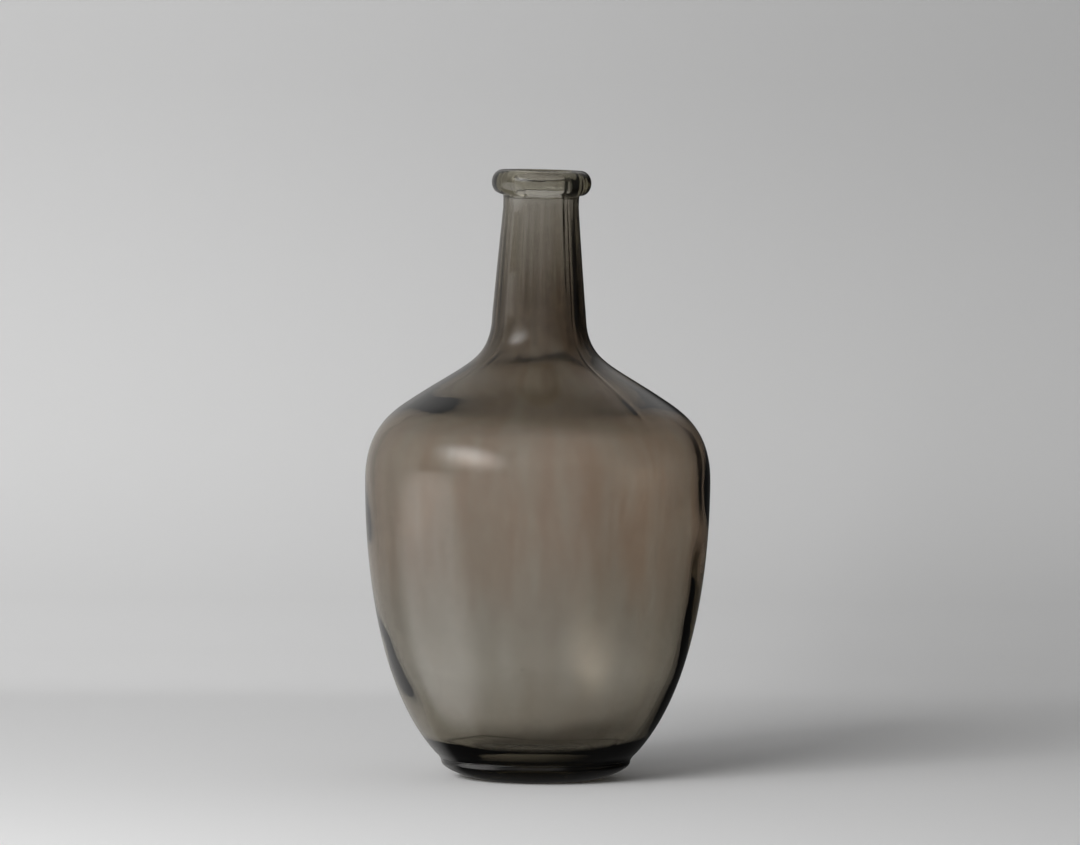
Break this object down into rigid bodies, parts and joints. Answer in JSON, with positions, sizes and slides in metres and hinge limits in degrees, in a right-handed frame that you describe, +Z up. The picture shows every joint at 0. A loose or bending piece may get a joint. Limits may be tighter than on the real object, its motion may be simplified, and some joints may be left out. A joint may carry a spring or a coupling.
{
  "type": "glass bottle vase",
  "caption": "Bottle-shaped vase in smoky clear glass: rounded body tapering to a small foot, sloping shoulder, tall narrow neck and a rolled ring lip.",
  "frame": {"origin": "centre of the ring that the vase stands on, on the table", "axes": "+Z up the vase's own axis to the mouth; the glass is round, so +X and +Y are free, and -Y faces the viewer"},
  "size_m": [0.1758, 0.1758, 0.31],
  "materials": {
    "smoky_glass": "fire-polished, clear, grey-green in the melt with a thin smoky brown lacquer outside"
  },
  "bodies": {
    "root": {"base": "smoky_glass", "flank": "smoky_glass", "belly": "smoky_glass", "shoulder": "smoky_glass", "neck_root": "smoky_glass", "neck": "smoky_glass", "lip_ring": "smoky_glass"}
  },
  "joints": []
}
